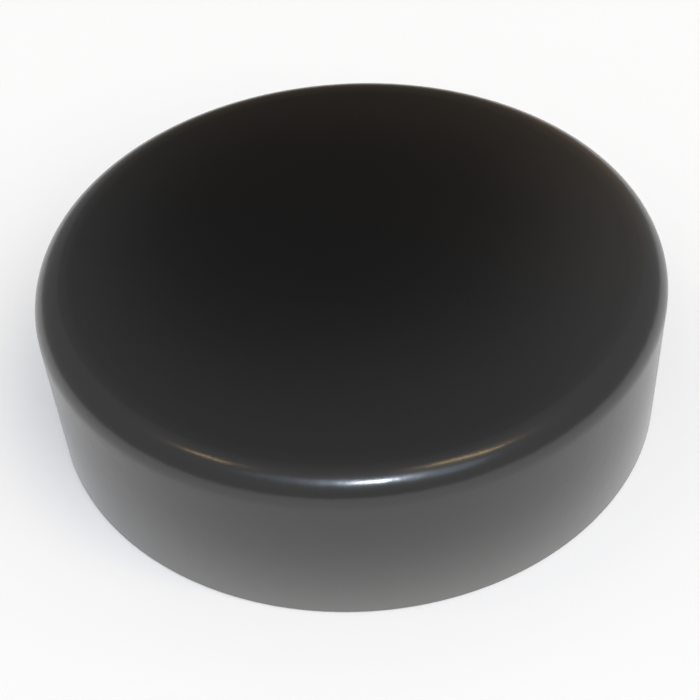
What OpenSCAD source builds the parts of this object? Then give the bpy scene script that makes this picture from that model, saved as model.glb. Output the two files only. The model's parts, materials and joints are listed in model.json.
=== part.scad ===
// Flat-topped piling cap, moulded in one piece: a shallow crown that turns down
// through a round shoulder into a straight skirt, open below to take the head
// of the piling. Millimetres, +Z up, origin on the axis in the plane of the rim.

/* [Socket] */
// Inside diameter of the skirt, which slips over the head of the piling
socket_d = 254; // [150:1:410]

/* [Shell] */
// Thickness of the shell, the same from the crown to the rim
wall = 3.2; // [2:0.1:6]
// Height from the rim to the middle of the crown
cap_h = 74; // [50:1:120]
// Outside radius of the shoulder between the crown and the skirt
shoulder_r = 12; // [8:0.5:25]
// Outside radius of the shallow dome that the crown is part of, so that rain runs off
crown_r = 3500; // [1000:50:6000]

/* [Rim] */
// Width of the break along both edges of the trimmed rim
rim_break = 0.6; // [0.2:0.1:0.9]

/* [Hidden] */

// Facets of a full turn, and the finer ones that the crown's large radius needs
$fn = 240;
dome_facets = 3600;

// Radii of the skirt
socket_r = socket_d / 2;
cap_r = socket_r + wall;

// Centre of the crown's dome, on the axis below the rim
dome_z = cap_h - crown_r;

// Centre of the shoulder's arcs, placed so that they run smoothly into the dome and the skirt
shoulder_x = cap_r - shoulder_r;
shoulder_z = dome_z + sqrt(pow(crown_r - shoulder_r, 2) - pow(shoulder_x, 2));

// Where the dome meets the shoulder, for the surface that lies inset below the outside
function crown_edge_x(inset) = (crown_r - inset) * shoulder_x / (crown_r - shoulder_r);

// Half of the section through a solid cap whose surface lies inset below the outside
module half_section(inset) {
    // Skirt
    square([cap_r - inset, shoulder_z]);
    // Shoulder
    translate([shoulder_x, shoulder_z])
        circle(r = shoulder_r - inset);
    // Crown
    intersection() {
        translate([0, dome_z])
            circle(r = crown_r - inset, $fn = dome_facets);
        square([crown_edge_x(inset), cap_h]);
    }
}

// Corner that the edge break takes off the rim at radius r, on its outer (1) or inner (-1) side
module edge_break(r, side) {
    polygon([[r, 0], [r - side * rim_break, 0], [r, rim_break]]);
}

module piling_cap() {
    color("#1b1b1b")
        rotate_extrude()
            difference() {
                half_section(0);
                half_section(wall);
                edge_break(cap_r, 1);
                edge_break(socket_r, -1);
            }
}

piling_cap();
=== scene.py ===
import json
import math

import bmesh
import bpy
from bpy.props import FloatProperty, FloatVectorProperty, IntProperty, PointerProperty
from bpy.types import Operator, Panel, PropertyGroup
from mathutils import Matrix, Quaternion, Vector


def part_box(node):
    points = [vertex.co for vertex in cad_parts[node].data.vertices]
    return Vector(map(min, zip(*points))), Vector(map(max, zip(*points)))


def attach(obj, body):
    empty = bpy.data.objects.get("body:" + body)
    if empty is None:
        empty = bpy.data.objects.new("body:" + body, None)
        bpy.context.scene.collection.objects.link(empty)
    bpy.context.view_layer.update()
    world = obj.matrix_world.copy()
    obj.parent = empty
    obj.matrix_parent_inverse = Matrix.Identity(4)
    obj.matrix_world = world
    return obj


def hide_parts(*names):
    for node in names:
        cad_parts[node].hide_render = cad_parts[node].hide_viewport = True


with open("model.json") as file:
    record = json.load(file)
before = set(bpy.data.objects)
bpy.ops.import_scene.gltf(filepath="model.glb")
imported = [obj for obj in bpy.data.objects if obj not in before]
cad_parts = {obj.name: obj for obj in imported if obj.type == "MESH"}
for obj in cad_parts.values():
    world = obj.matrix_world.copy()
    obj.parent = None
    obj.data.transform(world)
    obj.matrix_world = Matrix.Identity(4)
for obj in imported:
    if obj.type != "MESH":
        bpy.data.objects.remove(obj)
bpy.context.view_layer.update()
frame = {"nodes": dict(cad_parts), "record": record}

bl_info = {
    "name": "Piling cap",
    "version": (1, 0, 0),
    "blender": (4, 5, 0),
    "location": "View3D > Sidebar > Piling cap",
    "description": "Builds a formed polyethylene piling cap and a pale stage to show it on",
    "category": "Mesh",
}

MM = 0.001


def linear(hex_colour):
    """Turns an sRGB hex colour such as #1b1b1b into linear red, green and blue."""
    values = [int(hex_colour[i:i + 2], 16) / 255 for i in (1, 3, 5)]
    return tuple(v / 12.92 if v <= 0.04045 else ((v + 0.055) / 1.055) ** 2.4 for v in values)


def per_metre(size_mm):
    """The scale of a pattern whose features are size_mm across."""
    return 1 / (size_mm * MM)


# What the CAD model says of the cap
CAP_NODE = "piling_cap"
CAP_BODY = "root"
CAP_LOW, CAP_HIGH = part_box(CAP_NODE)
CAP_RADIUS = max(math.hypot(v.co.x, v.co.y) for v in frame["nodes"][CAP_NODE].data.vertices)
SOCKET = next(m for m in frame["record"]["mounts"] if m["name"] == "pile_socket")

# Rings of the mesh along the section, the distance at which points are welded, and the angle above
# which an edge stays sharp
CROWN_RINGS = 24
SHOULDER_RINGS = 14
SKIRT_RINGS = 16
WELD = 1e-6
SHARP_ANGLE = math.radians(30)

# The shell's finishes, in the order of its material slots
OUTSIDE, INSIDE, RIM = range(3)

# Polyethylene's index of refraction, and the specular level of its skin, which reflects more than
# the plain level of 0.5
POLYETHYLENE_IOR = 1.54
SKIN_SPECULAR = 0.85

# Patches of gloss on the skin, in millimetres, and the part of the noise's range that they use
PATCH_SIZE = 80
NOISE_LOW, NOISE_HIGH = 0.3, 0.7

# The share of the skin's reflections that is dulled, and how rough that share is
DULLED_SHARE = 0.32
DULLED_ROUGHNESS = 0.29

# How fast the painted light that makes the skirt lighter towards the rim fades upwards, and the
# loose specks of dust in millimetres, with the solid part of each
PAINTED_LIGHT_FADE = 2.2
SPECK_SPACING = 14
SPECK_RADIUS = 0.35
SPECK_CORE = 0.6

# Waves and grain of the skin in millimetres. The waves are full from WAVES_FULL below the top of the
# cap downwards, and from WAVES_CALM upwards only a share of them is left
WAVE_SIZE, WAVE_DEPTH = 6, 0.07
GRAIN_SIZE, GRAIN_DEPTH = 1.2, 0.012
WAVES_FULL, WAVES_CALM = 3.5, 1.5
CALM_SHARE = 0.15

# Pebble of the mould side in millimetres, coarser than the real one so that it shows
PEBBLE_SIZE, PEBBLE_DEPTH = 1.0, 0.05
MOULD_ROUGHNESS = 0.5

# Rings of the trimmed rim in millimetres, coarser than a real cutter's so that they show. The wave
# texture runs through 20 radians for each unit of its scale
RING_SPACING, RING_DEPTH = 0.5, 0.02
RING_SCALE = math.tau / 20 * per_metre(RING_SPACING)
RING_WANDER = 1.5
TRIM_ROUGHNESS = 0.6

SENSOR_WIDTH = 36

# The floor is flat over a quarter of its radius, and then rises until its edge is two degrees up
FLOOR_FLAT = 1 / 4
FLOOR_RISE = math.radians(2)
FLOOR_STEPS = 64

# Where the lamps are, in degrees clockwise from +Y and above the floor, and how wide the suns look
KEY_FROM, KEY_ANGLE = (175.2, 55.4), math.radians(9.5)
FILL_FROM, FILL_ANGLE = (145, 48), math.radians(60)

# The other lamps hang LAMP_REACH metres from the cap. Each has the two directions that it reaches
# between, its width in metres and its power in watts
LAMP_REACH = 2
COOL_STRIPS = {
    "softbox": ((139.4, 41.4), (-157, 54), 0.57, 2.9),
    "softbox_tail": ((-131, 59), (-157, 54), 0.5, 0.37),
}
WARM_STRIPS = {
    "warm_left": ((-88.6, 61.6), (-101, 66.2), 0.15, 0.74),
    "warm_right": ((115.6, 59.5), (128, 75.5), 0.1, 1.85),
}

# The studio is darkest where the crown mirrors it to the camera: along +Y turned by DARK_TURN. Other
# directions are offset from that one across and up, counted in steps of DARK_REACH, whose middle
# value is so large that the part along it drops out
DARK_TURN = (math.radians(37.7), 0, math.radians(1.2))
DARK_REACH = (0.285, 1000, 0.24)

# Where the brightness changes: by the square of the offset, by the offset across and by the one up
DARK_START, DARK_END = 0.15, 1.0
SIDE_START, SIDE_END = 0.5, 1.1
UPPER_START, UPPER_END = 0.2, 4.0

# The middle of the warm tint in degrees, as for the lamps, and the cosines from it where it sets in
WARM_FROM = (8, 12)
WARM_START, WARM_END = 0.87, 0.95


class CapSizes(PropertyGroup):
    """Sizes of the cap's shell"""

    radius: FloatProperty(
        name="Outside radius", description="Outside radius of the skirt",
        default=CAP_RADIUS, unit="LENGTH", precision=4)
    height: FloatProperty(
        name="Height", description="Height from the rim to the middle of the crown",
        default=CAP_HIGH.z, unit="LENGTH", precision=4)
    socket_radius: FloatProperty(
        name="Socket radius", description="Inside radius of the skirt",
        default=SOCKET["dims"]["r_mm"] * MM, unit="LENGTH", precision=4)
    shoulder_radius: FloatProperty(
        name="Shoulder radius", description="Outside radius between the crown and the skirt",
        default=12 * MM, unit="LENGTH", precision=4)
    crown_radius: FloatProperty(
        name="Crown radius", description="Outside radius of the dome that the crown is part of",
        default=3500 * MM, unit="LENGTH", precision=4)
    rim_break: FloatProperty(
        name="Rim break", description="Width of the break along both edges of the rim",
        default=0.6 * MM, unit="LENGTH", precision=4)
    turn_steps: IntProperty(
        name="Steps", description="Faces in a full turn of the shell", default=256, min=32)


class CapFinish(PropertyGroup):
    """Colours and gloss of the polyethylene"""

    skin_colour: FloatVectorProperty(
        name="Skin", description="Colour of the formed sheet",
        default=linear("#0b0b0c"), subtype="COLOR", min=0, max=1)
    # Painted light: a paler colour that makes the skirt lighter towards the rim
    painted_rim_light_colour: FloatVectorProperty(
        name="Painted rim light", description="Paler colour painted on the sheet towards the rim",
        default=linear("#636361"), subtype="COLOR", min=0, max=1)
    speck_colour: FloatVectorProperty(
        name="Specks", description="Colour of the loose specks of dust",
        default=linear("#1d1d1c"), subtype="COLOR", min=0, max=1)
    # How high above the rim the painted light on the skirt reaches
    painted_light_height: FloatProperty(
        name="Painted light height", description="Height above the rim that the painted light reaches",
        default=60 * MM, unit="LENGTH", precision=4)
    trim_colour: FloatVectorProperty(
        name="Trimmed edge", description="Colour of the cut through the sheet",
        default=linear("#232323"), subtype="COLOR", min=0, max=1)
    gloss_low: FloatProperty(
        name="Smoothest", description="Roughness of the skin where it is smoothest",
        default=0.16, subtype="FACTOR", min=0, max=1)
    gloss_high: FloatProperty(
        name="Dullest", description="Roughness of the skin where it is dullest",
        default=0.19, subtype="FACTOR", min=0, max=1)


class StageSettings(PropertyGroup):
    """Camera, floor and light"""

    camera_place: FloatVectorProperty(
        name="Camera", description="Place of the camera",
        default=(0, -435 * MM, 428.3 * MM), subtype="TRANSLATION", precision=4)
    camera_aim: FloatVectorProperty(
        name="Aim", description="Point in the middle of the picture",
        default=(-2 * MM, 0, 13.2 * MM), subtype="TRANSLATION", precision=4)
    camera_roll: FloatProperty(
        name="Roll", description="Turn of the camera about its line of sight",
        default=math.radians(-3.86), unit="ROTATION")
    camera_lens: FloatProperty(
        name="Lens", description="Focal length on a sensor 36 mm wide",
        default=70.2, unit="CAMERA")
    floor_colour: FloatVectorProperty(
        name="Floor", description="Colour of the floor",
        default=linear("#f7f7f7"), subtype="COLOR", min=0, max=1)
    floor_radius: FloatProperty(
        name="Floor radius", description="Radius of the floor",
        default=60, unit="LENGTH")
    key_colour: FloatVectorProperty(
        name="Key colour", description="Colour of the key light",
        default=linear("#e6f2ff"), subtype="COLOR", min=0, max=1)
    key_strength: FloatProperty(
        name="Key", description="Strength of the soft key light over the camera", default=0.94)
    fill_colour: FloatVectorProperty(
        name="Fill colour", description="Colour of the fill, which makes up for the cool key",
        default=linear("#fff8ef"), subtype="COLOR", min=0, max=1)
    fill_strength: FloatProperty(
        name="Fill", description="Strength of the fill from the front right", default=1.3)
    softbox_colour: FloatVectorProperty(
        name="Softbox", description="Colour of the softbox round the key light",
        default=linear("#cfe0ff"), subtype="COLOR", min=0, max=1)
    warm_colour: FloatVectorProperty(
        name="Strips", description="Colour of the two warm strip lamps",
        default=linear("#ffd9a6"), subtype="COLOR", min=0, max=1)
    back_colour: FloatVectorProperty(
        name="Back", description="Tint of the studio low down behind the cap",
        default=linear("#ffe4c4"), subtype="COLOR", min=0, max=1)
    studio_level: FloatProperty(
        name="Studio", description="Brightness of the studio overhead and in front", default=0.52)
    studio_wall: FloatProperty(
        name="Wall", description="Brightness of the studio round its dark part", default=0.27)
    studio_side: FloatProperty(
        name="Sides", description="Brightness of the studio to the left and right of its dark part",
        default=0.45)
    studio_dark: FloatProperty(
        name="Dark", description="Brightness of the studio where the top of the cap mirrors it",
        default=0.015)


def add_node(tree, kind, inputs=None, links=None, **settings):
    """Adds a node of that kind, with values for its inputs, links into its inputs and settings."""
    node = tree.nodes.new(kind)
    for name, value in settings.items():
        setattr(node, name, value)
    for name, value in (inputs or {}).items():
        node.inputs[name].default_value = value
    for name, output in (links or {}).items():
        tree.links.new(output, node.inputs[name])
    return node


def new_material(name):
    """An empty node material of that name, and its tree."""
    material = bpy.data.materials.new(name)
    material.use_nodes = True
    material.node_tree.nodes.clear()
    return material, material.node_tree


def handled_gloss(tree, place, finish):
    """Roughness of the skin. Handling dulls it in patches about as wide as a palm."""
    patches = add_node(
        tree, "ShaderNodeTexNoise", {"Scale": per_metre(PATCH_SIZE), "Detail": 2.0}, {"Vector": place})
    gloss = add_node(
        tree, "ShaderNodeMapRange",
        {"From Min": NOISE_LOW, "From Max": NOISE_HIGH,
         "To Min": finish.gloss_low, "To Max": finish.gloss_high},
        {"Value": patches.outputs["Fac"]})
    return gloss.outputs["Result"]


def painted_light_and_specks(tree, place, height, finish):
    """Colour of the skin, with painted light that fades from the rim upwards, and a few loose specks of
    dust.
    """
    # Painted light: the skin is mixed towards a paler colour at the rim, and less so higher up
    low_down = add_node(
        tree, "ShaderNodeMapRange",
        {"From Min": 0.0, "From Max": finish.painted_light_height, "To Min": 1.0, "To Max": 0.0}, {"Value": height})
    settled = add_node(
        tree, "ShaderNodeMath", {1: PAINTED_LIGHT_FADE}, {0: low_down.outputs["Result"]}, operation="POWER")
    skin = add_node(
        tree, "ShaderNodeMix", {"A": (*finish.skin_colour, 1), "B": (*finish.painted_rim_light_colour, 1)},
        {"Factor": settled.outputs["Value"]}, data_type="RGBA")

    # Few cells of the pattern have their middle on the skin, so a speck shows every few centimetres
    cells = add_node(
        tree, "ShaderNodeTexVoronoi", {"Scale": per_metre(SPECK_SPACING)}, {"Vector": place})
    edge = SPECK_RADIUS / SPECK_SPACING
    specks = add_node(
        tree, "ShaderNodeMapRange",
        {"From Min": SPECK_CORE * edge, "From Max": edge, "To Min": 1.0, "To Max": 0.0},
        {"Value": cells.outputs["Distance"]})
    colour = add_node(
        tree, "ShaderNodeMix", {"B": (*finish.speck_colour, 1)},
        {"Factor": specks.outputs["Result"], "A": skin.outputs["Result"]}, data_type="RGBA")
    return colour.outputs["Result"]


def formed_relief(tree, place, height, top):
    """Relief of the skin: shallow waves, and a grain that is drawn coarser than the real one."""
    # Forming stretches the sheet over the shoulder and down the skirt, which leaves more waves there
    # than on the crown
    waves = add_node(
        tree, "ShaderNodeTexNoise", {"Scale": per_metre(WAVE_SIZE), "Detail": 1.0}, {"Vector": place})
    stretch = add_node(
        tree, "ShaderNodeMapRange",
        {"From Min": top - WAVES_FULL * MM, "From Max": top - WAVES_CALM * MM,
         "To Min": 1.0, "To Max": CALM_SHARE},
        {"Value": height})
    wavy = add_node(
        tree, "ShaderNodeBump", {"Distance": WAVE_DEPTH * MM},
        {"Height": waves.outputs["Fac"], "Strength": stretch.outputs["Result"]})
    grain = add_node(
        tree, "ShaderNodeTexNoise", {"Scale": per_metre(GRAIN_SIZE), "Detail": 2.0}, {"Vector": place})
    grainy = add_node(
        tree, "ShaderNodeBump", {"Strength": 1.0, "Distance": GRAIN_DEPTH * MM},
        {"Height": grain.outputs["Fac"], "Normal": wavy.outputs["Normal"]})
    return grainy.outputs["Normal"]


def formed_skin(finish, sizes):
    """Black polyethylene sheet, thermoformed: the free side that is the cap's outside."""
    # Cooling in the air leaves a waxy satin skin: soft but clear reflections that shallow waves
    # bend a little, and a few loose specks of dust. Painted light makes the skirt lighter towards the rim
    material, tree = new_material("polyethylene_formed_satin")
    place = add_node(tree, "ShaderNodeTexCoord").outputs["Object"]
    height = add_node(tree, "ShaderNodeSeparateXYZ", links={"Vector": place}).outputs["Z"]
    surface = {
        "Base Color": painted_light_and_specks(tree, place, height, finish),
        "Normal": formed_relief(tree, place, height, sizes.height),
    }

    # The grain that is too fine to draw dulls a part of every reflection, which gives lamps a halo
    gloss = {"IOR": POLYETHYLENE_IOR, "Specular IOR Level": SKIN_SPECULAR}
    clear = add_node(
        tree, "ShaderNodeBsdfPrincipled", gloss,
        {**surface, "Roughness": handled_gloss(tree, place, finish)})
    dulled = add_node(
        tree, "ShaderNodeBsdfPrincipled", {**gloss, "Roughness": DULLED_ROUGHNESS}, surface)
    shader = add_node(
        tree, "ShaderNodeMixShader", {0: DULLED_SHARE},
        {1: clear.outputs["BSDF"], 2: dulled.outputs["BSDF"]})
    add_node(tree, "ShaderNodeOutputMaterial", links={"Surface": shader.outputs["Shader"]})
    return material


def mould_side(finish):
    """The side of the sheet that lay on the mould, which is the cap's inside."""
    # The blasted mould prints a fine pebble on it: the gloss is gone and the black looks greyer
    material, tree = new_material("polyethylene_mould_side_matt")
    place = add_node(tree, "ShaderNodeTexCoord").outputs["Object"]
    pebble = add_node(
        tree, "ShaderNodeTexNoise", {"Scale": per_metre(PEBBLE_SIZE), "Detail": 3.0}, {"Vector": place})
    colour = add_node(
        tree, "ShaderNodeMix", {"A": (*finish.skin_colour, 1), "B": (*finish.trim_colour, 1)},
        {"Factor": pebble.outputs["Fac"]}, data_type="RGBA")
    pebbled = add_node(
        tree, "ShaderNodeBump", {"Strength": 1.0, "Distance": PEBBLE_DEPTH * MM},
        {"Height": pebble.outputs["Fac"]})
    shader = add_node(
        tree, "ShaderNodeBsdfPrincipled", {"IOR": POLYETHYLENE_IOR, "Roughness": MOULD_ROUGHNESS},
        {"Base Color": colour.outputs["Result"], "Normal": pebbled.outputs["Normal"]})
    add_node(tree, "ShaderNodeOutputMaterial", links={"Surface": shader.outputs["BSDF"]})
    return material


def trimmed_edge(finish):
    """The rim, where a router trimmed the formed sheet to height."""
    # The cutter leaves rings along the edge and tears the plastic a little: dull, dark grey
    material, tree = new_material("polyethylene_router_trimmed")
    place = add_node(tree, "ShaderNodeTexCoord").outputs["Object"]
    rings = add_node(
        tree, "ShaderNodeTexWave", {"Scale": RING_SCALE, "Distortion": RING_WANDER, "Detail": 2.0},
        {"Vector": place}, wave_type="RINGS", rings_direction="Z")
    colour = add_node(
        tree, "ShaderNodeMix", {"A": (*finish.skin_colour, 1), "B": (*finish.trim_colour, 1)},
        {"Factor": rings.outputs["Fac"]}, data_type="RGBA")
    cut = add_node(
        tree, "ShaderNodeBump", {"Strength": 1.0, "Distance": RING_DEPTH * MM},
        {"Height": rings.outputs["Fac"]})
    shader = add_node(
        tree, "ShaderNodeBsdfPrincipled", {"IOR": POLYETHYLENE_IOR, "Roughness": TRIM_ROUGHNESS},
        {"Base Color": colour.outputs["Result"], "Normal": cut.outputs["Normal"]})
    add_node(tree, "ShaderNodeOutputMaterial", links={"Surface": shader.outputs["BSDF"]})
    return material


def skin_section(sizes, inset):
    """Points (radius, height) of the surface inset below the outside, from the axis to the rim."""
    crown_r = sizes.crown_radius - inset
    shoulder_r = sizes.shoulder_radius - inset
    dome_z = sizes.height - sizes.crown_radius
    shoulder_x = sizes.radius - sizes.shoulder_radius
    tilt = math.asin(shoulder_x / (sizes.crown_radius - sizes.shoulder_radius))
    shoulder_z = dome_z + (sizes.crown_radius - sizes.shoulder_radius) * math.cos(tilt)
    points = []
    for i in range(CROWN_RINGS):
        angle = tilt * i / CROWN_RINGS
        points.append((crown_r * math.sin(angle), dome_z + crown_r * math.cos(angle)))
    for i in range(SHOULDER_RINGS):
        angle = tilt + (math.pi / 2 - tilt) * i / SHOULDER_RINGS
        points.append(
            (shoulder_x + shoulder_r * math.sin(angle), shoulder_z + shoulder_r * math.cos(angle)))
    for i in range(SKIRT_RINGS + 1):
        drop = (shoulder_z - sizes.rim_break) * i / SKIRT_RINGS
        points.append((sizes.radius - inset, shoulder_z - drop))
    return points


def shell_section(sizes):
    """The whole section: down the outside, across the rim and up the inside."""
    wall = sizes.radius - sizes.socket_radius
    if not 2 * sizes.rim_break < wall < sizes.shoulder_radius:
        raise ValueError("the wall must be wider than both rim breaks and thinner than the shoulder")
    rim = [(sizes.radius - sizes.rim_break, 0), (sizes.socket_radius + sizes.rim_break, 0)]
    return skin_section(sizes, 0) + rim + skin_section(sizes, wall)[::-1]


def turn(section, steps):
    """Turns a section of (radius, height) points round the Z axis, with smooth faces."""
    turned = bmesh.new()
    line = [turned.verts.new((r, 0, z)) for r, z in section]
    edges = [turned.edges.new(pair) for pair in zip(line, line[1:])]
    bmesh.ops.spin(turned, geom=line + edges, cent=(0, 0, 0), axis=(0, 0, 1),
                   angle=math.tau, steps=steps, use_merge=True)
    bmesh.ops.remove_doubles(turned, verts=turned.verts, dist=WELD)
    bmesh.ops.recalc_face_normals(turned, faces=turned.faces)
    for face in turned.faces:
        face.smooth = True
    return turned


def keep_mesh(turned, name):
    """Keeps a turned shape as a mesh of that name."""
    mesh = bpy.data.meshes.new(name)
    turned.to_mesh(mesh)
    turned.free()
    return mesh


def zone(face, rim_break):
    """The finish of a face of the shell: the rim's below the breaks, or else that of its side."""
    centre = face.calc_center_median()
    if centre.z < rim_break:
        return RIM
    return INSIDE if face.normal.dot(centre) < 0 else OUTSIDE


def shell_mesh(sizes):
    """The closed shell, with the finish of each face and its sharp edges."""
    turned = turn(shell_section(sizes), sizes.turn_steps)
    for face in turned.faces:
        face.material_index = zone(face, sizes.rim_break)
    for edge in turned.edges:
        if not edge.is_manifold:
            raise RuntimeError("the shell isn't closed")
        edge.smooth = edge.calc_face_angle() < SHARP_ANGLE
    return keep_mesh(turned, "cap_shell")


class PILINGCAP_OT_build_shell(Operator):
    """Build the cap's shell, the one piece that the object is made of"""

    bl_idname = "pilingcap.build_shell"
    bl_label = "Build shell"

    def execute(self, context):
        sizes, finish = context.scene.cap_sizes, context.scene.cap_finish
        mesh = shell_mesh(sizes)
        for material in (formed_skin(finish, sizes), mould_side(finish), trimmed_edge(finish)):
            mesh.materials.append(material)
        shell = bpy.data.objects.new("cap_shell", mesh)
        context.scene.collection.objects.link(shell)
        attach(shell, CAP_BODY)
        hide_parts(CAP_NODE)
        return {"FINISHED"}


def aim(place, target, roll):
    """The turn of a camera at place that looks at target."""
    look = (Vector(target) - Vector(place)).to_track_quat("-Z", "Y")
    return look @ Quaternion((0, 0, 1), roll)


def place_camera(scene, stage):
    """A camera at the photograph's viewing angle."""
    data = bpy.data.cameras.new("camera")
    data.sensor_width = SENSOR_WIDTH
    data.lens = stage.camera_lens
    camera = bpy.data.objects.new("camera", data)
    camera.location = stage.camera_place
    camera.rotation_mode = "QUATERNION"
    camera.rotation_quaternion = aim(stage.camera_place, stage.camera_aim, stage.camera_roll)
    scene.collection.objects.link(camera)
    scene.camera = camera


def lay_floor(scene, stage):
    """A plain pale floor in the plane of the rim. Far away it rises a little and hides the horizon."""
    reach = stage.floor_radius
    dish = turn([(0, 0), (reach * FLOOR_FLAT, 0), (reach, reach * math.tan(FLOOR_RISE))], FLOOR_STEPS)
    mesh = keep_mesh(dish, "floor")
    material, tree = new_material("floor_matt_paint")
    shader = add_node(tree, "ShaderNodeBsdfDiffuse", {"Color": (*stage.floor_colour, 1)})
    add_node(tree, "ShaderNodeOutputMaterial", links={"Surface": shader.outputs["BSDF"]})
    mesh.materials.append(material)
    floor = bpy.data.objects.new("floor", mesh)
    floor.location.z = CAP_LOW.z
    scene.collection.objects.link(floor)


def direction(azimuth, elevation):
    """The way to a point that many degrees clockwise from +Y, seen from above, and above the floor."""
    azimuth, elevation = math.radians(azimuth), math.radians(elevation)
    level = math.cos(elevation)
    return Vector((math.sin(azimuth) * level, math.cos(azimuth) * level, math.sin(elevation)))


def add_lamp(scene, name, kind, colour, energy, **settings):
    """A lamp of that kind in the scene."""
    data = bpy.data.lights.new(name, kind)
    data.color = colour
    data.energy = energy
    for setting, value in settings.items():
        setattr(data, setting, value)
    lamp = bpy.data.objects.new(name, data)
    lamp.rotation_mode = "QUATERNION"
    scene.collection.objects.link(lamp)
    return lamp


def hang_sun(scene, name, source, angle, colour, strength):
    """A sun that shines from a direction and looks as wide as angle."""
    lamp = add_lamp(scene, name, "SUN", colour, strength, angle=angle)
    lamp.rotation_quaternion = (-source).to_track_quat("-Z", "Y")
    return lamp


def hang_strip(scene, name, start, end, width, colour, power):
    """An area lamp that reaches from one direction to another, LAMP_REACH away from the cap."""
    start, end = start * LAMP_REACH, end * LAMP_REACH
    lamp = add_lamp(scene, name, "AREA", colour, power, shape="RECTANGLE",
                    size=(end - start).length, size_y=width)
    lamp.location = (start + end) / 2
    back = lamp.location.normalized()
    across = back.cross(end - start).normalized()
    lamp.rotation_quaternion = Matrix((across.cross(back), across, back)).transposed().to_quaternion()


def hang_lamps(scene, stage):
    """A key over the camera, a wide fill, a softbox with its tail, and two warm strips."""
    hang_sun(scene, "key", direction(*KEY_FROM), KEY_ANGLE, stage.key_colour, stage.key_strength)
    fill = hang_sun(
        scene, "fill", direction(*FILL_FROM), FILL_ANGLE, stage.fill_colour, stage.fill_strength)
    # The fill is so wide that its reflection would grey the whole shoulder
    fill.visible_glossy = False
    for strips, colour in ((COOL_STRIPS, stage.softbox_colour), (WARM_STRIPS, stage.warm_colour)):
        for name, (start, end, width, power) in strips.items():
            hang_strip(scene, name, direction(*start), direction(*end), width, colour, power)


def studio_brightness(tree, way, stage):
    """Brightness of the studio each way: darkest where the crown mirrors it, brightest overhead."""
    offset = add_node(
        tree, "ShaderNodeMapping", {"Rotation": DARK_TURN, "Scale": DARK_REACH}, {"Vector": way},
        vector_type="TEXTURE").outputs["Vector"]
    away = add_node(
        tree, "ShaderNodeVectorMath", links={0: offset, 1: offset}, operation="DOT_PRODUCT")
    parts = add_node(tree, "ShaderNodeSeparateXYZ", links={"Vector": offset}).outputs
    aside = add_node(tree, "ShaderNodeMath", links={0: parts["X"]}, operation="ABSOLUTE")
    sides = add_node(
        tree, "ShaderNodeMapRange",
        {"From Min": SIDE_START, "From Max": SIDE_END,
         "To Min": stage.studio_wall, "To Max": stage.studio_side},
        {"Value": aside.outputs["Value"]})
    wall = add_node(
        tree, "ShaderNodeMapRange",
        {"From Min": DARK_START, "From Max": DARK_END, "To Min": stage.studio_dark},
        {"Value": away.outputs["Value"], "To Max": sides.outputs["Result"]},
        interpolation_type="SMOOTHSTEP")
    level = add_node(
        tree, "ShaderNodeMapRange",
        {"From Min": UPPER_START, "From Max": UPPER_END, "To Max": stage.studio_level},
        {"Value": parts["Z"], "To Min": wall.outputs["Result"]})
    return level.outputs["Result"]


def studio_tint(tree, way, stage):
    """Tint of the studio each way: warm low down behind the cap, and white elsewhere."""
    nearness = add_node(
        tree, "ShaderNodeVectorMath", {1: direction(*WARM_FROM)}, {0: way}, operation="DOT_PRODUCT")
    warmth = add_node(
        tree, "ShaderNodeMapRange",
        {"From Min": WARM_START, "From Max": WARM_END, "To Min": 0.0, "To Max": 1.0},
        {"Value": nearness.outputs["Value"]})
    tint = add_node(
        tree, "ShaderNodeMix", {"A": (1, 1, 1, 1), "B": (*stage.back_colour, 1)},
        {"Factor": warmth.outputs["Result"]}, data_type="RGBA")
    return tint.outputs["Result"]


def light_studio(scene, stage):
    """The dim studio round the cap, which lights it a little and which its skin reflects."""
    world = bpy.data.worlds.new("studio")
    world.use_nodes = True
    tree = world.node_tree
    tree.nodes.clear()
    way = add_node(tree, "ShaderNodeTexCoord").outputs["Generated"]
    light = {"Color": studio_tint(tree, way, stage), "Strength": studio_brightness(tree, way, stage)}
    back = add_node(tree, "ShaderNodeBackground", links=light)
    add_node(tree, "ShaderNodeOutputWorld", links={"Surface": back.outputs["Background"]})
    scene.world = world


class PILINGCAP_OT_set_stage(Operator):
    """Set the camera, the pale floor and the soft light"""

    bl_idname = "pilingcap.set_stage"
    bl_label = "Set stage"

    def execute(self, context):
        scene = context.scene
        stage = scene.cap_stage
        place_camera(scene, stage)
        lay_floor(scene, stage)
        hang_lamps(scene, stage)
        light_studio(scene, stage)
        scene.view_settings.view_transform = "Standard"
        return {"FINISHED"}


# The settings that every scene gets, by the name they have there
GROUPS = {"cap_sizes": CapSizes, "cap_finish": CapFinish, "cap_stage": StageSettings}


class PILINGCAP_PT_panel(Panel):
    """Lists the cap's settings and the steps that build it"""

    bl_idname = "PILINGCAP_PT_panel"
    bl_label = "Piling cap"
    bl_space_type = "VIEW_3D"
    bl_region_type = "UI"
    bl_category = "Piling cap"

    def draw(self, context):
        for name, group in GROUPS.items():
            box = self.layout.box()
            for setting in group.__annotations__:
                box.prop(getattr(context.scene, name), setting)
        for step in (PILINGCAP_OT_set_stage, PILINGCAP_OT_build_shell):
            self.layout.operator(step.bl_idname)


CLASSES = (*GROUPS.values(), PILINGCAP_OT_build_shell, PILINGCAP_OT_set_stage, PILINGCAP_PT_panel)


def register():
    """Adds the classes to Blender and the settings to its scenes."""
    for cls in CLASSES:
        bpy.utils.register_class(cls)
    for name, group in GROUPS.items():
        setattr(bpy.types.Scene, name, PointerProperty(type=group))


def unregister():
    """Takes away what register added."""
    for name in GROUPS:
        delattr(bpy.types.Scene, name)
    for cls in reversed(CLASSES):
        bpy.utils.unregister_class(cls)


def main():
    """Sets the stage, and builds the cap."""
    register()
    bpy.ops.pilingcap.set_stage()
    bpy.ops.pilingcap.build_shell()


if __name__ == "__main__":
    main()
